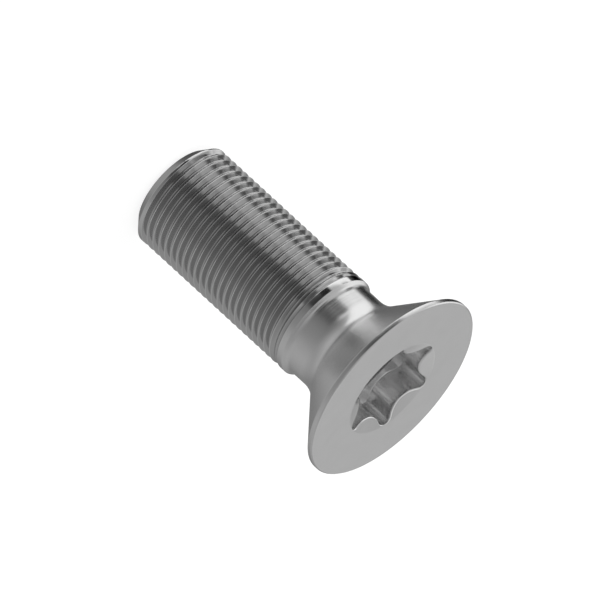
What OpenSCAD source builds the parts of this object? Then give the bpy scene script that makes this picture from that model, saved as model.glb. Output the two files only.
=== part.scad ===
// Countersunk screw with a six-lobe drive socket, a waisted neck and a fine right-hand thread.
// It stands on the flat end of its tip, on the floor at z = 0, with its head up and its axis on Z.
// One lobe of the socket points along +X. Sizes are in millimetres.

/* [Head] */
// Diameter of the flat head face
head_d = 25.6; // [20:0.1:30]
// Height of the straight land round the head
land_h = 0.65; // [0.3:0.05:1.5]
// Included angle of the cone under the head
cone_angle = 90; // [80:1:100]
// Radius on the two edges of the land
land_edge_r = 0.1; // [0.05:0.01:0.15]

/* [Neck] */
// Diameter of the neck between the head and the shoulder
neck_d = 13; // [11:0.1:13.2]
// Radius of the hollow where the cone runs into the neck
neck_fillet_r = 3.9; // [1:0.1:5]

/* [Thread] */
// Outside diameter of the thread
thread_d = 14; // [13.8:0.1:16]
// Distance from the tip to the head face
screw_l = 37.3; // [35:0.1:60]
// Length of the thread, from the tip
thread_l = 25; // [12:0.5:25]
// Height of the chamfer that leads the tip into its hole
tip_chamfer = 1.2; // [0.5:0.1:2]

/* [Shoulder] */
// Length of the plain collar between the thread and the shoulder
collar_l = 0.87; // [0.5:0.01:1.2]
// Slope of the shoulder, from the axis
shoulder_angle = 45; // [40:1:70]
// Radius of the hollow at the foot of the shoulder
shoulder_fillet_r = 1; // [0.2:0.1:1]

/* [Socket] */
// Distance across opposite lobes of the socket
socket_tip_d = 13.3; // [11:0.05:13.3]
// Distance across opposite flutes of the socket
socket_flute_d = 9.37; // [8:0.01:9.6]
// Radius of each lobe
lobe_r = 0.91; // [0.8:0.01:1]
// Depth of the socket at the tips of its lobes, from the head face
socket_depth = 3.9; // [2:0.1:5]
// Slope of the socket's floor, down to its middle
floor_slope = 5; // [1:1:15]
// Width of the shallow countersink at the mouth of the socket
mouth_d = 13.4; // [13.35:0.05:15]
// Slope of that countersink
mouth_slope = 15; // [5:1:30]

/* [Hidden] */
$fn = 96;
// How far a cutting shape stands out of what it cuts
over = 1;
// How far each flute laps over the lobes beside it, so that their walls cross cleanly
flute_lap = 0.002;
lobes = 6;
lobe_step = 360 / lobes;

head_r = head_d / 2;
neck_r = neck_d / 2;
thread_r = thread_d / 2;
cone_half = cone_angle / 2;
land_z = screw_l - land_h;
neck_top_z = land_z - (head_r - neck_r) / tan(cone_half);
collar_top_z = thread_l + collar_l;
neck_foot_z = collar_top_z + (thread_r - neck_r) / tan(shoulder_angle);

// The circles of the socket: each lobe touches the two flutes beside it
lobe_centre = socket_tip_d / 2 - lobe_r;
flute_inner = socket_flute_d / 2;
lobe_reach = lobe_centre * cos(lobe_step / 2);
flute_r = (lobe_r ^ 2 - lobe_centre ^ 2 - flute_inner ^ 2 + 2 * lobe_reach * flute_inner)
        / (2 * (flute_inner - lobe_reach - lobe_r));
flute_centre = flute_inner + flute_r;

// Unit vector at an angle
function dir(a) = [cos(a), sin(a)];

// Where a lobe touches the flute beside it: side is 1 or -1
function touch(i, side) =
    let (lobe = lobe_centre * dir(i * lobe_step))
    let (flute = flute_centre * dir((i + side / 2) * lobe_step))
    lobe + (flute - lobe) * lobe_r / (lobe_r + flute_r);

// The web between a corner and the arc of radius r that rounds it. The corner's edges leave it at
// angles a and b, and the web is added in a hollow corner or taken from an outer one.
module corner_web(corner, a, b, r) {
    half = (b - a) / 2;
    run = r / tan(half);
    centre = corner + dir((a + b) / 2) * r / sin(half);
    difference() {
        polygon([corner, corner + run * dir(a), centre, corner + run * dir(b)]);
        translate(centre) circle(r = r);
    }
}

// Half section of the screw: x is the radius, and y the height above the tip
module half_section() {
    difference() {
        union() {
            polygon([
                [0, 0],
                [thread_r - tip_chamfer, 0],
                [thread_r, tip_chamfer],
                [thread_r, collar_top_z],
                [neck_r, neck_foot_z],
                [neck_r, neck_top_z],
                [head_r, land_z],
                [head_r, screw_l],
                [0, screw_l]
            ]);
            corner_web([neck_r, neck_foot_z], shoulder_angle - 90, 90, shoulder_fillet_r);
            corner_web([neck_r, neck_top_z], -90, 90 - cone_half, neck_fillet_r);
        }
        corner_web([head_r, land_z], 90, 270 - cone_half, land_edge_r);
        corner_web([head_r, screw_l], 180, 270, land_edge_r);
    }
}

// Outline of the six-lobe socket
module star() {
    difference() {
        union() {
            polygon([for (i = [0 : lobes - 1]) for (side = [-1, 1]) touch(i, side)]);
            for (i = [0 : lobes - 1]) {
                translate(lobe_centre * dir(i * lobe_step)) circle(r = lobe_r);
            }
        }
        for (i = [0 : lobes - 1]) {
            translate(flute_centre * dir((i + 0.5) * lobe_step)) circle(r = flute_r + flute_lap);
        }
    }
}

// The space that the driver fills, below the head face at z = 0, with the countersink at its mouth
module socket() {
    floor_z = -socket_depth - socket_tip_d / 2 * tan(floor_slope);
    mouth_r = mouth_d / 2;
    intersection() {
        translate([0, 0, floor_z - over]) linear_extrude(height = 2 * over - floor_z) star();
        rotate_extrude() polygon([
            [0, floor_z],
            [head_r, floor_z + head_r * tan(floor_slope)],
            [head_r, over],
            [0, over]
        ]);
    }
    rotate_extrude() polygon([
        [0, -mouth_r * tan(mouth_slope)],
        [mouth_r + over / tan(mouth_slope), over],
        [0, over]
    ]);
}

module screw() {
    color("silver") difference() {
        rotate_extrude() half_section();
        translate([0, 0, screw_l]) socket();
    }
}

screw();
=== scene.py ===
"""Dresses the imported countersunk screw: its real thread, its rounded edges and its satin steel finish."""
import logging
import math
from dataclasses import dataclass, field
from enum import Enum

import bmesh
import bpy
import numpy as np
from mathutils import Matrix, Vector


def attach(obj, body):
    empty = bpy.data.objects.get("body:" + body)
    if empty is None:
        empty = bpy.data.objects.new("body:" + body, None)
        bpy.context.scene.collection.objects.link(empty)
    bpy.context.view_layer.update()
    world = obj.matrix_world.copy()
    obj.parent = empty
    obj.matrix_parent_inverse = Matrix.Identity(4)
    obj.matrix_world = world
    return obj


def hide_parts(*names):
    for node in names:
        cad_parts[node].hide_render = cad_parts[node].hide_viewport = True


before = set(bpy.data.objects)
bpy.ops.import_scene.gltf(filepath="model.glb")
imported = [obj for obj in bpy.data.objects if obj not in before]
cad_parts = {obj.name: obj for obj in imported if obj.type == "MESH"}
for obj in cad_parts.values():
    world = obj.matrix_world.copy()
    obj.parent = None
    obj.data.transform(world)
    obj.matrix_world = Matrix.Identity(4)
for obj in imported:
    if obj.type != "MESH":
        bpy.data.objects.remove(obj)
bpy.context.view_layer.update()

log = logging.getLogger("screw")

MM = 0.001
NODE = "screw"
BODY = "root"

# Height of the head's face above the tip, and radius of the collar, in millimetres
SCREW_LENGTH = 37.3
COLLAR_RADIUS = 7.0

# Points round the screw, a multiple of six so that every lobe of the socket is alike
AROUND = 144
# Points that lie closer together than this are one point of the mesh, in metres
WELD = 1e-7
# Rows of points whose heights differ by less than this are at one height, in millimetres
SAME_HEIGHT = 1e-6
# Edges that bend more than this stay sharp, in radians
SHARP_ANGLE = math.radians(38)
# Value round which a noise goes up and down
NOISE_MIDDLE = 0.5


class Making(Enum):
    """How a stretch of the surface was made. The value is its place among the mesh's materials."""

    TURNED = 0
    BURNISHED = 1
    ROLLED = 2
    FORGED = 3
    COINED = 4


def angles_round(extra: int = 0) -> np.ndarray:
    """Angles of the points round the axis, in radians, with extra ones past the full turn."""
    return np.arange(AROUND + extra) * math.tau / AROUND


def touch_height(radius: float, bevel: float = 45.0) -> float:
    """How far up or down from a corner its round touches a bevel, which is given in degrees."""
    return radius * math.tan(math.radians(bevel / 2)) * math.sin(math.radians(bevel))


def at(radius: np.ndarray, angle: np.ndarray, height: np.ndarray) -> np.ndarray:
    """Points from their radius, angle and height.

    Args:
        radius: Distance from the axis, in millimetres.
        angle: Angle round the axis from +X, in radians.
        height: Height above the tip, in millimetres.

    Returns:
        An array whose last axis holds X, Y and Z.
    """
    radius, angle, height = np.broadcast_arrays(radius, angle, height)
    return np.stack([radius * np.cos(angle), radius * np.sin(angle), height], axis=-1)


@dataclass
class Outline:
    """A line drawn point by point in the half plane of radius and height, in millimetres."""

    points: list[tuple[float, float]] = field(default_factory=list)

    def to(self, radius: float, height: float, hold: float = 0.0) -> "Outline":
        """Draws a straight line to a point.

        Args:
            radius: Radius of the point.
            height: Height of the point.
            hold: How far from each end an extra point keeps the line's shading straight.

        Returns:
            The outline itself.
        """
        if hold and self.points:
            start, end = np.array(self.points[-1]), np.array((radius, height))
            length = float(np.linalg.norm(end - start))
            for share in (hold / length, 1 - hold / length):
                self.points.append(tuple(start + (end - start) * share))
        self.points.append((radius, height))
        return self

    def rounded(
        self, corner: tuple[float, float], before: float, after: float, radius: float, steps: int
    ) -> "Outline":
        """Rounds a corner with an arc that touches both of its edges.

        Args:
            corner: The sharp corner.
            before: Direction of the edge that leads back from the corner, in degrees from outward.
            after: Direction of the edge that leads on from it, in degrees.
            radius: Radius of the arc.
            steps: Number of straight pieces that it is made of.

        Returns:
            The outline itself.
        """
        turn = (after - before + 180) % 360 - 180
        middle = math.radians(before + turn / 2)
        reach = radius / math.sin(math.radians(abs(turn) / 2))
        side = math.copysign(90, turn)
        for angle in np.radians(np.linspace(before - side, before + turn - 3 * side, steps + 1)):
            self.points.append((
                corner[0] + reach * math.cos(middle) + radius * math.cos(angle),
                corner[1] + reach * math.sin(middle) + radius * math.sin(angle),
            ))
        return self

    def revolve(self) -> np.ndarray:
        """Turns the outline round the axis.

        Returns:
            Points in rows from the outline's start to its end, with one column for each angle.
        """
        line = np.array(self.points)
        return at(line[:, :1], angles_round()[None, :], line[:, 1:])


@dataclass
class DriveSocket:
    """The six-lobe drive socket, with a shallow countersink at its mouth and a floor like a flat cone.

    Sizes are in millimetres and slopes in degrees. Rows of points lie at shares of the way: along
    the floor from the axis, up the wall, and across the countersink from the wall.

    Attributes:
        mouth_edge_share: Share of the countersink's width that the round of the wall may take.
        rim_break_share: Share of that width that the break of the rim may take.
    """

    face: float = SCREW_LENGTH
    tip_diameter: float = 13.3
    flute_diameter: float = 9.37
    lobe_radius: float = 0.91
    depth: float = 3.9
    floor_slope: float = 5.0
    floor_edge: float = 0.1
    mouth_diameter: float = 13.4
    mouth_slope: float = 15.0
    mouth_edge: float = 0.21
    mouth_edge_share: float = 0.7
    rim_break: float = 0.015
    rim_break_share: float = 0.15
    lobes: int = 6
    lobe_steps: int = 10
    edge_steps: int = 5
    floor_rows: tuple[float, ...] = (0.0, 0.12, 0.3, 0.5, 0.7, 0.85, 0.95)
    wall_rows: tuple[float, ...] = (0.5, 0.85)
    mouth_rows: tuple[float, ...] = (0.12, 0.4, 0.7, 0.9, 1.0)

    @property
    def tip_radius(self) -> float:
        """Distance from the axis to the end of a lobe."""
        return self.tip_diameter / 2

    @property
    def mouth_radius(self) -> float:
        """Radius of the circle in which the countersink meets the head's face."""
        return self.mouth_diameter / 2

    @property
    def wall_top(self) -> int:
        """Number of the row in which the wall runs into the round of the mouth."""
        return len(self.floor_rows) + self.edge_steps + 1 + len(self.wall_rows)

    def wall(self) -> tuple[np.ndarray, np.ndarray]:
        """The socket's outline, seen along the axis.

        Returns:
            Points round the wall from the end of a lobe, and at each the direction into the metal.
        """
        half_step = math.pi / self.lobes
        flute_inner = self.flute_diameter / 2
        lobe_centre = self.tip_radius - self.lobe_radius
        reach = lobe_centre * math.cos(half_step)
        flute_radius = (
            self.lobe_radius ** 2 - lobe_centre ** 2 - flute_inner ** 2 + 2 * reach * flute_inner
        ) / (2 * (flute_inner - reach - self.lobe_radius))
        lobe = np.array([lobe_centre, 0.0])
        flute = (flute_inner + flute_radius) * np.array([math.cos(half_step), math.sin(half_step)])
        touch = math.atan2(flute[1], flute[0] - lobe_centre)
        flute_steps = AROUND // self.lobes - self.lobe_steps
        lobe_turn = np.linspace(-touch, touch, self.lobe_steps, endpoint=False)
        flute_end = math.pi + 2 * half_step - touch
        flute_turn = np.linspace(math.pi + touch, flute_end, flute_steps, endpoint=False)
        lobe_way = np.stack([np.cos(lobe_turn), np.sin(lobe_turn)], axis=-1)
        flute_way = np.stack([np.cos(flute_turn), np.sin(flute_turn)], axis=-1)
        points = np.concatenate([lobe + self.lobe_radius * lobe_way, flute + flute_radius * flute_way])
        inward = np.concatenate([lobe_way, -flute_way])
        turns = [2 * half_step * step for step in range(self.lobes)]
        matrices = [np.array([[math.cos(a), math.sin(a)], [-math.sin(a), math.cos(a)]]) for a in turns]
        start = -self.lobe_steps // 2
        return (
            np.roll(np.concatenate([points @ m for m in matrices]), start, axis=0),
            np.roll(np.concatenate([inward @ m for m in matrices]), start, axis=0),
        )

    def to_mouth(self, points: np.ndarray, inward: np.ndarray) -> np.ndarray:
        """Distance from each point of the wall to the mouth's circle.

        Args:
            points: Points round the wall.
            inward: Direction into the metal at each.

        Returns:
            One distance for each point.
        """
        along = np.sum(points * inward, axis=1)
        return np.sqrt(along ** 2 + self.mouth_radius ** 2 - np.sum(points ** 2, axis=1)) - along

    def row(self, plan: np.ndarray, depth: np.ndarray) -> np.ndarray:
        """Points of a row at a depth below the head's face."""
        return np.column_stack([plan, np.broadcast_to(self.face - depth, len(plan))])

    def floor_depth(self, plan: np.ndarray) -> np.ndarray:
        """Depth of the floor's cone below the face."""
        rise = math.tan(math.radians(self.floor_slope))
        return self.depth + (self.tip_radius - np.linalg.norm(plan, axis=1)) * rise

    def cone_depth(self, plan: np.ndarray) -> np.ndarray:
        """Depth of the countersink below the face."""
        rise = math.tan(math.radians(self.mouth_slope))
        return (self.mouth_radius - np.linalg.norm(plan, axis=1)) * rise

    def bottom(self, points: np.ndarray, inward: np.ndarray, outward: np.ndarray) -> list[np.ndarray]:
        """The floor and the fillet between the floor and the wall.

        Args:
            points: Points round the wall.
            inward: Direction into the metal at each.
            outward: How far that direction points away from the axis.

        Returns:
            Rows of points from the axis to the wall.
        """
        foot = points - inward * self.floor_edge
        rows = [self.row(foot * share, self.floor_depth(foot * share)) for share in self.floor_rows]
        slope = np.tan(math.radians(self.floor_slope)) * outward
        tilt = np.arctan(slope)
        centre = self.floor_depth(points) + self.floor_edge * (slope - np.hypot(1, slope))
        for share in np.linspace(0, 1, self.edge_steps + 1):
            turn = tilt + (math.pi / 2 - tilt) * share
            out = self.floor_edge * (np.sin(turn) - 1)
            rows.append(self.row(points + inward * out[:, None], centre + self.floor_edge * np.cos(turn)))
        return rows

    def mouth(self, points: np.ndarray, inward: np.ndarray, outward: np.ndarray) -> list[np.ndarray]:
        """The wall, the round at its top, the countersink and the break of its rim.

        Args:
            points: Points round the wall.
            inward: Direction into the metal at each.
            outward: How far that direction points away from the axis.

        Returns:
            Rows of points from the wall to just outside the rim.
        """
        room = self.to_mouth(points, inward)
        slope = np.tan(math.radians(self.mouth_slope)) * outward
        tilt = np.arctan(slope)
        radius = np.minimum(self.mouth_edge, self.mouth_edge_share * room / (1 - np.sin(tilt)))
        centre = self.cone_depth(points) + radius * (np.hypot(1, slope) - slope)
        rows = [self.row(points, self.depth + (centre - self.depth) * share) for share in self.wall_rows]
        for share in np.linspace(0, 1, self.edge_steps + 1):
            turn = (math.pi / 2 - tilt) * share
            out = radius * (1 - np.cos(turn))
            rows.append(self.row(points + inward * out[:, None], centre - radius * np.sin(turn)))
        edge = radius * (1 - np.sin(tilt))
        rim = np.minimum(self.rim_break, self.rim_break_share * room)
        for share in self.mouth_rows:
            out = edge + (room - rim - edge) * share
            plan = points + inward * out[:, None]
            rows.append(self.row(plan, self.cone_depth(plan)))
        circle = points + inward * room[:, None]
        rows.append(self.row(circle * (1 + rim / self.mouth_radius)[:, None], np.zeros(len(points))))
        return rows

    def patch(self) -> np.ndarray:
        """The socket from the middle of its floor to just outside the rim of its mouth.

        Returns:
            Points in rows, with one column for each point round the wall.
        """
        points, inward = self.wall()
        outward = np.sum(points * inward, axis=1) / np.linalg.norm(points, axis=1)
        return np.array(self.bottom(points, inward, outward) + self.mouth(points, inward, outward))


@dataclass
class Head:
    """The countersunk head: a flat face, a straight land round it and a cone below.

    Sizes are in millimetres and the cone's angle in degrees.
    """

    diameter: float = 25.6
    land: float = 0.65
    cone_angle: float = 90.0
    face_bevel: float = 0.14
    face_edge: float = 0.04
    cone_edge: float = 0.13
    top: float = SCREW_LENGTH
    face_hold: float = 0.2

    @property
    def radius(self) -> float:
        """Radius of the face."""
        return self.diameter / 2

    @property
    def land_foot(self) -> float:
        """Height at which the land ends and the cone starts."""
        return self.top - self.land

    def outline(self, line: Outline) -> None:
        """Draws the head from the rim of its face down to the start of its cone.

        Args:
            line: The outline, which is added to.
        """
        rim = self.radius - self.face_bevel
        bevel_foot = (self.radius, self.top - self.face_bevel)
        cone = 270 - self.cone_angle / 2
        line.to(rim - self.face_hold, self.top)
        line.rounded((rim, self.top), before=180, after=-45, radius=self.face_edge, steps=3)
        line.rounded(bevel_foot, before=135, after=-90, radius=self.face_edge, steps=3)
        line.rounded((self.radius, self.land_foot), before=90, after=cone, radius=self.cone_edge, steps=4)


@dataclass
class Neck:
    """The waist between the head's cone and the collar, with its shoulder.

    Sizes are in millimetres and the shoulder's angle in degrees.
    """

    head: Head
    diameter: float = 13.0
    fillet: float = 3.9
    foot_fillet: float = 0.8
    shoulder_angle: float = 45.0
    collar_radius: float = COLLAR_RADIUS
    collar_top: float = 25.87
    collar_edge: float = 0.06
    hold: float = 0.12

    @property
    def radius(self) -> float:
        """Radius of the waist."""
        return self.diameter / 2

    def outline(self, line: Outline) -> None:
        """Draws the cone, the waist and the hollow at the foot of the shoulder.

        Args:
            line: The outline so far, which is added to.
        """
        half = self.head.cone_angle / 2
        cone_foot = self.head.land_foot - (self.head.radius - self.radius) / math.tan(math.radians(half))
        rise = 90 - half
        run = self.fillet * math.tan(math.radians(rise / 2))
        slope = math.radians(rise)
        line.to(self.radius + run * math.cos(slope), cone_foot + run * math.sin(slope), self.hold)
        line.rounded((self.radius, cone_foot), before=rise, after=-90, radius=self.fillet, steps=14)
        lean = self.shoulder_angle
        foot = self.collar_top + (self.collar_radius - self.radius) / math.tan(math.radians(lean))
        foot_run = self.foot_fillet * math.tan(math.radians(lean / 2))
        line.to(self.radius, foot + foot_run, self.hold)
        line.rounded((self.radius, foot), before=90, after=lean - 90, radius=self.foot_fillet, steps=6)

    def collar(self, foot: float, foot_edge: float) -> Outline:
        """Draws the collar, from the edge of the shoulder to the start of the thread.

        Args:
            foot: Height of the collar's lower edge.
            foot_edge: Radius of the round on that edge.

        Returns:
            The collar's outline.
        """
        line = Outline()
        top = (self.collar_radius, self.collar_top)
        line.rounded(top, before=self.shoulder_angle + 90, after=-90, radius=self.collar_edge, steps=4)
        line.to(self.collar_radius, foot + self.hold)
        line.rounded((self.collar_radius, foot), before=90, after=225, radius=foot_edge, steps=3)
        return line


@dataclass
class Thread:
    """A fine right-hand thread with rounded crests and roots, which runs out below the collar.

    Sizes are in millimetres and angles in degrees. Heights are above the tip.

    Attributes:
        flank_angle: Lean of the groove's sides from square to the axis.
        crest_half: Radius of the crest's round, as half the crest's width.
        crest_at: Height of a crest on the +X side.
        runout_from: Height at which the groove has run out.
        runout_turns: Turns in which the groove runs out.
        start_from: Height at which the groove starts.
        start_turns: Turns in which it reaches its full depth.
        flank_hold: How far along a flank an extra row keeps its shading straight.
        spare_turns: Turns added beyond each end, which are then cut to the shank's length.
        fine_rows: Rows added to a turn where the thread starts or runs out.
        fine_below: Height below which they are added.
        fine_above: Height above which they are added.
        flat_hold: Distance from the tip's edge to the first ring on the flat end.
    """

    radius: float = 6.985
    pitch: float = 1.0
    length: float = 25.0
    flank_angle: float = 30.0
    crest_half: float = 0.026
    root_radius: float = 0.18
    crest_steps: int = 3
    root_steps: int = 5
    crest_at: float = 0.766
    runout_turns: float = 1.45
    runout_from: float = 25.0
    start_turns: float = 0.5
    start_from: float = 1.45
    flank_hold: float = 0.025
    collar_radius: float = COLLAR_RADIUS
    collar_foot: float = 25.05
    collar_foot_edge: float = 0.04
    relief_radius: float = 6.83
    relief_floor: float = 0.05
    relief_run: float = 0.33
    chamfer: float = 1.2
    tip_edge: float = 0.15
    flat_hold: float = 0.45
    spare_turns: int = 2
    fine_rows: int = 20
    fine_below: float = 1.5
    fine_above: float = 23.0

    @property
    def depth(self) -> float:
        """Depth of the groove below the crests."""
        return (self.pitch / 2 - self.crest_half) / math.tan(self.flank) - self.root_radius

    @property
    def flank(self) -> float:
        """Lean of the groove's sides, in radians from square to the axis."""
        return math.radians(self.flank_angle)

    @property
    def tip_radius(self) -> float:
        """Radius of the tip's flat end, out to where its edge would be sharp."""
        return self.radius - self.chamfer

    @property
    def tip_foot(self) -> float:
        """Height at which the tip's rounded edge runs into the chamfer."""
        return touch_height(self.tip_edge)

    def section(self) -> np.ndarray:
        """One pitch of the thread's section, from the middle of a crest.

        Returns:
            Rows of distance along the axis, as a share of the pitch, and depth in millimetres.
        """
        bend = 90 - self.flank_angle
        crest_round = self.crest_half / math.tan(self.flank)
        crest = [
            (crest_round * math.sin(a), crest_round * (1 - math.cos(a)))
            for a in np.radians(np.linspace(0, bend, self.crest_steps + 1))
        ]
        crest.append((
            crest[-1][0] + self.flank_hold * math.sin(self.flank),
            crest[-1][1] + self.flank_hold * math.cos(self.flank),
        ))
        root_centre = self.depth - self.root_radius
        root = [
            (self.pitch / 2 + self.root_radius * math.sin(a), root_centre + self.root_radius * math.cos(a))
            for a in np.radians(np.linspace(-bend, bend, self.root_steps + 1))
        ]
        root.insert(0, (
            root[0][0] - self.flank_hold * math.sin(self.flank),
            root[0][1] - self.flank_hold * math.cos(self.flank),
        ))
        root.append((self.pitch - root[0][0], root[0][1]))
        rows = np.array(crest + root + [(self.pitch - x, d) for x, d in reversed(crest[1:])])
        rows[:, 0] /= self.pitch
        return rows

    def depth_at(self, phase: np.ndarray) -> np.ndarray:
        """Depth of the full thread at a place in its pitch.

        Args:
            phase: Distance from a crest as a share of the pitch.

        Returns:
            Depth below the crests, in millimetres.
        """
        rows = self.section()
        places = np.concatenate([[rows[-1, 0] - 1], rows[:, 0], [rows[0, 0] + 1]])
        depths = np.concatenate([[0.0], rows[:, 1], [0.0]])
        return np.interp(phase % 1.0, places, depths)

    def radius_at(self, angle: np.ndarray, height: np.ndarray) -> np.ndarray:
        """Radius of the threaded shank.

        Args:
            angle: Angle round the axis, in radians.
            height: Height above the tip, in millimetres.

        Returns:
            The radius there, with the run-out below the collar and the chamfer at the tip.
        """
        lead = (height - self.crest_at) / self.pitch - angle / math.tau
        groove = self.crest_at + (np.floor(lead) + 0.5 + angle / math.tau) * self.pitch
        share = np.minimum(
            np.clip((self.runout_from - groove) / (self.runout_turns * self.pitch), 0, 1),
            np.clip((groove - self.start_from) / (self.start_turns * self.pitch), 0, 1),
        )
        threaded = self.radius - self.depth_at(lead) * share
        threaded = np.where(height > self.relief_top, self.collar_radius, threaded)
        chamfered = self.tip_radius + np.maximum(height, 0)
        return np.minimum(np.minimum(threaded, self.relief(height)), chamfered)

    @property
    def relief_top(self) -> float:
        """Height at which the bevel below the collar runs into the floor of the relief."""
        return self.collar_foot - (self.collar_radius - self.relief_radius)

    def relief(self, height: np.ndarray) -> np.ndarray:
        """Radius of the narrow relief between the collar and the thread.

        Args:
            height: Height above the tip, in millimetres.

        Returns:
            The relief's radius there, or that of the crests further down.
        """
        floor_foot = self.relief_top - self.relief_floor
        return np.interp(
            height,
            (floor_foot - self.relief_run, floor_foot, self.relief_top, self.collar_foot),
            (self.radius, self.relief_radius, self.relief_radius, self.collar_radius),
        )

    def top(self) -> float:
        """Height at which the threaded shank takes over from the round at the collar's foot."""
        return self.collar_foot - touch_height(self.collar_foot_edge)

    def settle(self, starts: np.ndarray, step: float) -> np.ndarray:
        """Brings the rows that meet no other row across the seam to the nearest one that does.

        Args:
            starts: Height at which each row starts.
            step: Height from the row across the seam to the row that it meets.

        Returns:
            Height of each row at the seam.
        """
        same = np.isclose(starts[:, None], starts[None, :] + step, rtol=0, atol=SAME_HEIGHT)
        met = starts[same.any(axis=1)]
        return met[np.abs(starts[:, None] - met[None, :]).argmin(axis=1)]

    def patch(self) -> np.ndarray:
        """The threaded shank from the collar to the tip.

        Returns:
            Points in rows that follow the thread, with one column more than the others, which
            closes a turn on the row one pitch further on.
        """
        phases = self.section()[:, 0]
        fine_phases = np.union1d(phases, np.arange(self.fine_rows) / self.fine_rows)
        angle = angles_round(1)
        rows: list[float] = []
        for turn in range(-self.spare_turns, int(self.length / self.pitch) + self.spare_turns):
            start = self.crest_at + turn * self.pitch
            fine = start < self.fine_below or start > self.fine_above
            rows.extend(start + self.pitch * (fine_phases if fine else phases))
        starts = np.array(sorted(rows))[::-1]
        height = starts[:, None] + self.pitch * angle[None, :] / math.tau
        height[:, 0] = self.settle(starts, self.pitch)
        height[:, -1] = self.settle(starts, -self.pitch) + self.pitch
        height = np.clip(height, self.tip_foot, self.top())
        return at(self.radius_at(angle[None, :], height), angle[None, :], height)

    def tip(self) -> np.ndarray:
        """The tip's rounded edge and its flat end, to the axis.

        Returns:
            Points in rows, with one column for each angle.
        """
        line = Outline()
        line.rounded((self.tip_radius, 0.0), before=45, after=180, radius=self.tip_edge, steps=4)
        line.to(self.tip_radius - self.flat_hold, 0.0)
        line.to(self.tip_radius / 2, 0.0)
        line.to(0.0, 0.0)
        return line.revolve()


@dataclass(frozen=True)
class SteelFinish:
    """Satin steel with the marks that its making left, and, where a share below one is given, shade painted
    into the tone of its hollows.

    Attributes:
        name: Name of the material.
        tone: Reflected colour, a neutral grey.
        roughness: Middle of the roughness.
        unevenness: How far the roughness strays from its middle.
        rings: Tool marks round the axis in a millimetre.
        relief: Height of the marks, in millimetres.
        speckle: Specks in a millimetre.
        painted_shade_share: Share of the tone that is left in the hollows, where shade is painted into the
            tone.
        painted_shade_radius: Radius below which the surface counts as a hollow and gets painted shade, in
            millimetres.
        painted_shade_fade: How far out the painted shade fades, in millimetres.
        clouds: Broad lighter and darker patches in a millimetre.
        cloud_depth: How far the patches move the tone.
        ring_share: Share of the marks' height that the rings make up, beside the specks.
    """

    name: str
    tone: float
    roughness: float
    unevenness: float
    rings: float
    relief: float
    speckle: float
    painted_shade_share: float = 1.0
    painted_shade_radius: float = 0.0
    painted_shade_fade: float = 0.1
    clouds: float = 0.45
    cloud_depth: float = 0.05
    ring_share: float = 0.6

    def material(self) -> bpy.types.Material:
        """Makes the material.

        Returns:
            A metal whose grain, roughness and tone come from where a point is on the screw, with shade
            painted into the tone of the hollows.
        """
        material = bpy.data.materials.new(self.name)
        material.use_nodes = True
        wiring = Wiring(material.node_tree)
        shader = wiring.tree.nodes["Principled BSDF"]
        shader.inputs["Metallic"].default_value = 1.0
        place = wiring.add("ShaderNodeTexCoord").outputs["Object"]
        x, y, z = wiring.parts(place)
        radius = wiring.length(x, y)
        rings = wiring.noise(wiring.join(radius, 0.0, z), self.rings / MM, detail=3.0)
        speckle = wiring.noise(place, self.speckle / MM, detail=2.0)
        clouds = wiring.noise(place, self.clouds / MM, detail=2.0)
        tone = wiring.stray(clouds, self.cloud_depth, self.tone)
        # Painted shade: below the given radius the tone is darkened, which stands for the shade in the
        # thread's grooves.
        outer = wiring.ramp(radius, self.painted_shade_radius * MM, (self.painted_shade_radius + self.painted_shade_fade) * MM)
        painted_shade = wiring.math("MULTIPLY_ADD", outer, 1 - self.painted_shade_share, self.painted_shade_share)
        tone = wiring.math("MULTIPLY", tone, painted_shade)
        wiring.link(wiring.join(tone, tone, tone), shader.inputs["Base Color"])
        wiring.link(wiring.stray(rings, self.unevenness, self.roughness), shader.inputs["Roughness"])
        grain = wiring.math(
            "ADD",
            wiring.math("MULTIPLY", rings, self.ring_share),
            wiring.math("MULTIPLY", speckle, 1 - self.ring_share),
        )
        bump = wiring.add("ShaderNodeBump")
        bump.inputs["Strength"].default_value = 1.0
        bump.inputs["Distance"].default_value = self.relief * MM
        wiring.link(grain, bump.inputs["Height"])
        wiring.link(bump.outputs["Normal"], shader.inputs["Normal"])
        return material


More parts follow.
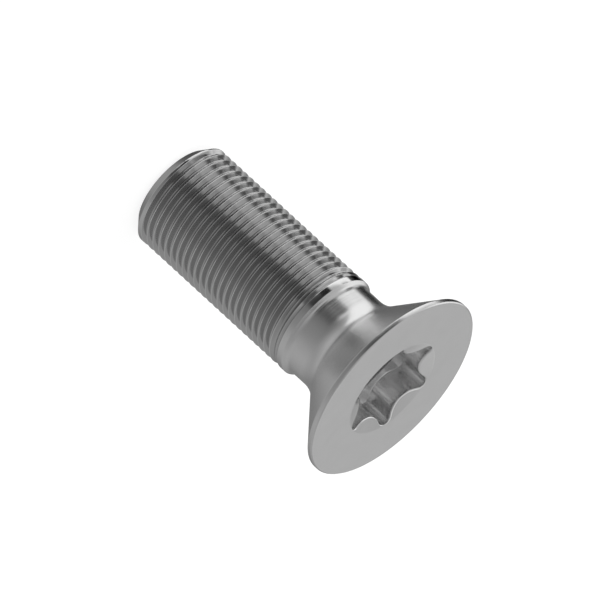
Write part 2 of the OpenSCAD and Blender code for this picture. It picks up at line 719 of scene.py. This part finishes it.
class Wiring:
    """Adds nodes to a tree and wires them to each other."""

    def __init__(self, tree: bpy.types.NodeTree) -> None:
        """Starts on a tree.

        Args:
            tree: The tree of a material or a world.
        """
        self.tree = tree

    def add(self, kind: str) -> bpy.types.Node:
        """Adds one node of a kind."""
        return self.tree.nodes.new(kind)

    def link(self, source: bpy.types.NodeSocket | float, target: bpy.types.NodeSocket) -> None:
        """Wires a value to a socket, or sets the socket where the value is a number.

        Args:
            source: Where the value comes from, or the number.
            target: The socket that takes it.
        """
        if isinstance(source, (int, float)):
            target.default_value = source
        else:
            self.tree.links.new(source, target)

    def math(self, operation: str, *values: bpy.types.NodeSocket | float) -> bpy.types.NodeSocket:
        """Adds a sum.

        Args:
            operation: Name of the sum.
            values: What it works on.

        Returns:
            Its result.
        """
        node = self.add("ShaderNodeMath")
        node.operation = operation
        for value, socket in zip(values, node.inputs):
            self.link(value, socket)
        return node.outputs[0]

    def length(self, x: bpy.types.NodeSocket, y: bpy.types.NodeSocket) -> bpy.types.NodeSocket:
        """Length of a flat vector."""
        return self.math("SQRT", self.math("ADD", self.math("MULTIPLY", x, x), self.math("MULTIPLY", y, y)))

    def stray(self, noise: bpy.types.NodeSocket, reach: float, middle: float) -> bpy.types.NodeSocket:
        """Lets a value stray from its middle as a noise goes up and down."""
        return self.math("MULTIPLY_ADD", self.math("SUBTRACT", noise, NOISE_MIDDLE), reach, middle)

    def parts(self, vector: bpy.types.NodeSocket) -> tuple[bpy.types.NodeSocket, ...]:
        """Takes a vector apart.

        Args:
            vector: The vector.

        Returns:
            Its X, Y and Z.
        """
        node = self.add("ShaderNodeSeparateXYZ")
        self.link(vector, node.inputs[0])
        return node.outputs[0], node.outputs[1], node.outputs[2]

    def along(self, vector: bpy.types.NodeSocket, direction: Vector) -> bpy.types.NodeSocket:
        """Measures how far a vector reaches in a direction.

        Args:
            vector: The vector.
            direction: The direction, one unit long.

        Returns:
            The distance.
        """
        node = self.add("ShaderNodeVectorMath")
        node.operation = "DOT_PRODUCT"
        self.link(vector, node.inputs[0])
        node.inputs[1].default_value = direction
        return node.outputs["Value"]

    def join(self, *values: bpy.types.NodeSocket | float) -> bpy.types.NodeSocket:
        """Joins three values into a vector.

        Args:
            values: Its X, Y and Z.

        Returns:
            The vector.
        """
        node = self.add("ShaderNodeCombineXYZ")
        for value, socket in zip(values, node.inputs):
            self.link(value, socket)
        return node.outputs[0]

    def noise(self, place: bpy.types.NodeSocket, scale: float, detail: float) -> bpy.types.NodeSocket:
        """Adds smooth noise.

        Args:
            place: Where it is read.
            scale: How many times it goes up and down in a metre.
            detail: How many finer layers it has.

        Returns:
            A value round a half.
        """
        node = self.add("ShaderNodeTexNoise")
        node.inputs["Scale"].default_value = scale
        node.inputs["Detail"].default_value = detail
        self.link(place, node.inputs["Vector"])
        return node.outputs[0]

    def ramp(self, value: bpy.types.NodeSocket, start: float, end: float) -> bpy.types.NodeSocket:
        """Runs smoothly from nought to one as a value goes from a start to an end.

        Args:
            value: The value.
            start: Where the result is nought.
            end: Where it is one.

        Returns:
            The result.
        """
        node = self.add("ShaderNodeMapRange")
        node.interpolation_type = "SMOOTHSTEP"
        self.link(value, node.inputs["Value"])
        node.inputs["From Min"].default_value = start
        node.inputs["From Max"].default_value = end
        return node.outputs[0]


@dataclass
class Skin:
    """Patches of the screw's surface, which are joined into one closed mesh."""

    finishes: dict[Making, SteelFinish]
    faces: list[np.ndarray] = field(default_factory=list)
    points: list[np.ndarray] = field(default_factory=list)
    makings: list[np.ndarray] = field(default_factory=list)

    def add(self, grid: np.ndarray, making: Making, closed: bool = True) -> None:
        """Adds a patch.

        Args:
            grid: Points in rows that run from the socket's floor towards the tip.
            making: How the patch was made.
            closed: Whether the last column joins the first.
        """
        rows, columns = grid.shape[:2]
        offset = sum(len(points) for points in self.points)
        upper = np.arange(rows - 1)[:, None] * columns + offset
        left = np.arange(columns if closed else columns - 1)[None, :]
        right = (left + 1) % columns
        corners = (upper + left, upper + columns + left, upper + columns + right, upper + right)
        faces = np.stack(np.broadcast_arrays(*corners), axis=-1).reshape(-1, 4)
        self.faces.append(faces)
        self.points.append(grid.reshape(-1, 3) * MM)
        self.makings.append(np.full(len(faces), making.value))

    def build(self, name: str) -> bpy.types.Object:
        """Joins the patches.

        Args:
            name: Name of the piece.

        Returns:
            The object, with its materials and smooth shading.
        """
        mesh = bpy.data.meshes.new(name)
        mesh.from_pydata(np.concatenate(self.points).tolist(), [], np.concatenate(self.faces).tolist())
        for making in Making:
            mesh.materials.append(self.finishes[making].material())
        mesh.polygons.foreach_set("material_index", np.concatenate(self.makings).astype(np.int32))
        work = bmesh.new()
        work.from_mesh(mesh)
        bmesh.ops.remove_doubles(work, verts=work.verts, dist=WELD)
        bmesh.ops.dissolve_degenerate(work, edges=work.edges, dist=WELD)
        for face in work.faces:
            face.smooth = True
        for edge in work.edges:
            edge.smooth = edge.calc_face_angle(0.0) < SHARP_ANGLE
        work.to_mesh(mesh)
        work.free()
        piece = bpy.data.objects.new(name, mesh)
        bpy.context.collection.objects.link(piece)
        weights = piece.modifiers.new("weights", "WEIGHTED_NORMAL")
        weights.keep_sharp = True
        return piece


@dataclass
class CountersunkScrew:
    """The whole screw, turned and rolled from one piece of steel."""

    socket: DriveSocket = field(default_factory=DriveSocket)
    head: Head = field(default_factory=Head)
    thread: Thread = field(default_factory=Thread)

    def build(self) -> bpy.types.Object:
        """Builds the screw's surface and takes the place of the plain solid.

        Returns:
            The object.
        """
        skin = Skin({
            Making.TURNED: SteelFinish(
                "turned steel",
                tone=0.72, roughness=0.24, unevenness=0.08, rings=4.0, relief=0.009, speckle=5.0,
            ),
            Making.BURNISHED: SteelFinish(
                "burnished steel",
                tone=0.72, roughness=0.1, unevenness=0.04, rings=6.0, relief=0.0006, speckle=14.0,
            ),
            # Painted shade: the thread's tone is set below the other steels' and darkened further in its
            # grooves, to stand for the shade there.
            Making.ROLLED: SteelFinish(
                "rolled steel with painted shade",
                tone=0.66, roughness=0.12, unevenness=0.05, rings=9.0, relief=0.0008, speckle=14.0,
                painted_shade_share=0.78, painted_shade_radius=6.88, painted_shade_fade=0.08,
            ),
            Making.FORGED: SteelFinish(
                "forged steel",
                tone=0.76, roughness=0.22, unevenness=0.04, rings=5.0, relief=0.0006, speckle=8.0,
            ),
            Making.COINED: SteelFinish(
                "coined steel",
                tone=0.76, roughness=0.12, unevenness=0.03, rings=5.0, relief=0.0003, speckle=8.0,
            ),
        })
        socket = self.socket.patch()
        line = Outline()
        self.head.outline(line)
        neck = Neck(self.head)
        neck.outline(line)
        turned = line.revolve()
        collar = neck.collar(self.thread.collar_foot, self.thread.collar_foot_edge).revolve()
        skin.add(socket[:self.socket.wall_top + 1], Making.FORGED)
        skin.add(socket[self.socket.wall_top:], Making.COINED)
        skin.add(np.concatenate([socket[-1:], turned, collar[:1]]), Making.TURNED)
        skin.add(collar, Making.BURNISHED)
        skin.add(self.thread.patch(), Making.ROLLED, closed=False)
        skin.add(self.thread.tip(), Making.TURNED)
        piece = skin.build("countersunk_screw")
        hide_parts(NODE)
        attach(piece, BODY)
        return piece


@dataclass(frozen=True)
class Panel:
    """A flat panel of soft light, or a dark flag, that faces the screw from a distance.

    Attributes:
        turn: Direction of its middle from +X, in degrees.
        elevation: Height of its middle above the horizon, in degrees.
        width: How far it reaches to each side, in degrees.
        height: How far it reaches up and down, in degrees.
        edge: Width of its soft edge, in degrees.
        roll: How far it leans, in degrees.
        brightness: Light that it gives.
    """

    turn: float
    elevation: float
    width: float
    height: float
    edge: float
    roll: float
    brightness: float

    def directions(self) -> tuple[Vector, Vector, Vector]:
        """Directions of the panel.

        Returns:
            Directions to its middle, along its width and up its height.
        """
        turn, rise, roll = (math.radians(a) for a in (self.turn, self.elevation, self.roll))
        middle = Vector((math.cos(turn) * math.cos(rise), math.sin(turn) * math.cos(rise), math.sin(rise)))
        level = Vector((-math.sin(turn), math.cos(turn), 0))
        upright = middle.cross(level)
        return (
            middle,
            level * math.cos(roll) + upright * math.sin(roll),
            upright * math.cos(roll) - level * math.sin(roll),
        )


@dataclass
class Studio:
    """The pale floor, the soft light all round and the camera.

    Attributes:
        view_turn: How far the camera is turned round the screw, in degrees.
        view_elevation: How high it looks down from, in degrees.
        view_roll: How far it is rolled, in degrees.
        view_width: Width of what it sees, in millimetres.
        view_shift: How far its middle lies right of and above the middle of the face, in millimetres.
        face_height: Height of the face, in millimetres.
        camera_distance: Distance of the camera, in millimetres.
        floor_size: Side of the floor, in metres.
        floor_tone: Tone of the floor under light.
        floor_glow: Light that the floor adds to its tone.
        ambient: Light from all sides.
        brighter_side: How that light grows along X, Y and Z.
    """

    view_turn: float = 3.2
    view_elevation: float = 23.27
    view_roll: float = 132.55
    view_width: float = 69.72
    view_shift: tuple[float, float] = (-10.737, 10.295)
    face_height: float = SCREW_LENGTH
    camera_distance: float = 500.0
    floor_size: float = 4.0
    floor_tone: float = 0.5
    floor_glow: float = 0.82
    ambient: float = 0.32
    brighter_side: tuple[float, float, float] = (-0.233, -0.085, 0.09)

    def camera(self) -> None:
        """Places the camera, which sees the screw without perspective."""
        turn, rise = math.radians(self.view_turn), math.radians(self.view_elevation)
        back = Vector((math.sin(turn) * math.cos(rise), -math.cos(turn) * math.cos(rise), math.sin(rise)))
        level = Vector((math.cos(turn), math.sin(turn), 0))
        roll = math.radians(self.view_roll)
        right = level * math.cos(roll) + back.cross(level) * math.sin(roll)
        up = back.cross(right)
        aim = Vector((0, 0, self.face_height)) + right * self.view_shift[0] + up * self.view_shift[1]
        data = bpy.data.cameras.new("camera")
        data.type = "ORTHO"
        data.ortho_scale = self.view_width * MM
        camera = bpy.data.objects.new("camera", data)
        bpy.context.collection.objects.link(camera)
        place = Matrix((right, up, back)).transposed().to_4x4()
        place.translation = (aim + back * self.camera_distance) * MM
        camera.matrix_world = place
        bpy.context.scene.camera = camera

    def floor(self) -> bpy.types.Object:
        """Lays the pale floor.

        Returns:
            The floor, which lights nothing and shows in no reflection.
        """
        mesh = bpy.data.meshes.new("floor")
        half = self.floor_size / 2
        corners = [(-half, -half, 0), (half, -half, 0), (half, half, 0), (-half, half, 0)]
        mesh.from_pydata(corners, [], [(0, 1, 2, 3)])
        material = bpy.data.materials.new("pale floor")
        material.use_nodes = True
        shader = material.node_tree.nodes["Principled BSDF"]
        shader.inputs["Base Color"].default_value = (self.floor_tone, self.floor_tone, self.floor_tone, 1)
        shader.inputs["Roughness"].default_value = 1.0
        shader.inputs["Specular IOR Level"].default_value = 0.0
        shader.inputs["Emission Color"].default_value = (1, 1, 1, 1)
        shader.inputs["Emission Strength"].default_value = self.floor_glow
        mesh.materials.append(material)
        floor = bpy.data.objects.new("floor", mesh)
        bpy.context.collection.objects.link(floor)
        floor.visible_glossy = False
        floor.visible_shadow = False
        return floor

    def panels(self) -> tuple[Panel, ...]:
        """Lists the panels round the screw.

        Returns:
            The panels, each in front of those before it.
        """
        return (
            Panel(turn=154, elevation=18, width=34.6, height=19.3, edge=16, roll=0, brightness=1.09),
            Panel(turn=83, elevation=30, width=16.2, height=25.5, edge=45, roll=16, brightness=0.65),
            Panel(turn=13, elevation=2, width=64.6, height=51, edge=85, roll=48, brightness=0.45),
            Panel(turn=265, elevation=-26, width=20, height=36, edge=34, roll=-6, brightness=0.2),
            Panel(turn=242, elevation=-16, width=21, height=11, edge=15, roll=0, brightness=0.04),
            Panel(turn=222, elevation=-21, width=9.5, height=6.5, edge=5, roll=0, brightness=0.02),
            Panel(turn=223, elevation=-33, width=14, height=4, edge=4, roll=0, brightness=0.9),
            Panel(turn=134, elevation=-23, width=30.6, height=18.3, edge=34, roll=41, brightness=0),
            Panel(turn=250, elevation=16, width=17, height=14, edge=9, roll=0, brightness=0.09),
            Panel(turn=153, elevation=-4, width=8, height=9, edge=5, roll=0, brightness=0.75),
            Panel(turn=133, elevation=40, width=7, height=6, edge=6, roll=0, brightness=0.5),
            Panel(turn=124, elevation=25.5, width=7.5, height=5, edge=4, roll=50, brightness=0.12),
            Panel(turn=174, elevation=4, width=9, height=9, edge=6, roll=0, brightness=0.07),
            Panel(turn=93, elevation=79, width=30, height=12, edge=8, roll=0, brightness=1.05),
            Panel(turn=107, elevation=-42, width=12, height=12, edge=16, roll=0, brightness=0.11),
            Panel(turn=92, elevation=-18, width=23.4, height=14, edge=9, roll=9, brightness=0.24),
            Panel(turn=354, elevation=-77, width=33.5, height=22.1, edge=46, roll=7, brightness=0.52),
            Panel(turn=93, elevation=-70, width=25, height=8, edge=12, roll=0, brightness=0.46),
            Panel(turn=177.5, elevation=-44, width=25, height=25.5, edge=5, roll=-17, brightness=1.16),
            Panel(turn=175, elevation=-15.5, width=8, height=4.5, edge=4, roll=0, brightness=0.12),
        )

    def light(self) -> None:
        """Surrounds the screw with soft light from all sides."""
        world = bpy.data.worlds.new("studio")
        world.use_nodes = True
        bpy.context.scene.world = world
        wiring = Wiring(world.node_tree)
        background = world.node_tree.nodes["Background"]
        way = wiring.add("ShaderNodeTexCoord").outputs["Generated"]
        light = wiring.math("ADD", wiring.along(way, Vector(self.brighter_side)), self.ambient)
        for panel in self.panels():
            middle, across, up = (wiring.along(way, direction) for direction in panel.directions())
            mask = wiring.math(
                "MULTIPLY",
                *(
                    wiring.ramp(
                        wiring.math("ABSOLUTE", wiring.math("ARCTAN2", off, middle)),
                        math.radians(reach + panel.edge / 2),
                        math.radians(reach - panel.edge / 2),
                    )
                    for off, reach in ((across, panel.width), (up, panel.height))
                ),
            )
            gap = wiring.math("SUBTRACT", panel.brightness, light)
            light = wiring.math("MULTIPLY_ADD", mask, gap, light)
        wiring.link(light, background.inputs["Strength"])
        background.inputs["Color"].default_value = (1, 1, 1, 1)

    def tones(self) -> None:
        """Keeps the picture's tones as they are lit."""
        settings = bpy.context.scene.view_settings
        settings.view_transform = "Standard"
        settings.look = "None"
        settings.exposure = 0.0
        settings.gamma = 1.0


def main() -> None:
    """Builds the screw and its studio, and reports each piece."""
    logging.basicConfig(level=logging.INFO, format="%(name)s: %(message)s")
    studio = Studio()
    studio.camera()
    piece = CountersunkScrew().build()
    log.info("%s: %d faces, rides on %s", piece.name, len(piece.data.polygons), BODY)
    floor = studio.floor()
    log.info("%s: %d face, stands for the studio", floor.name, len(floor.data.polygons))
    studio.light()
    studio.tones()
    log.info("studio: light and camera are in place")


if __name__ == "__main__":
    main()
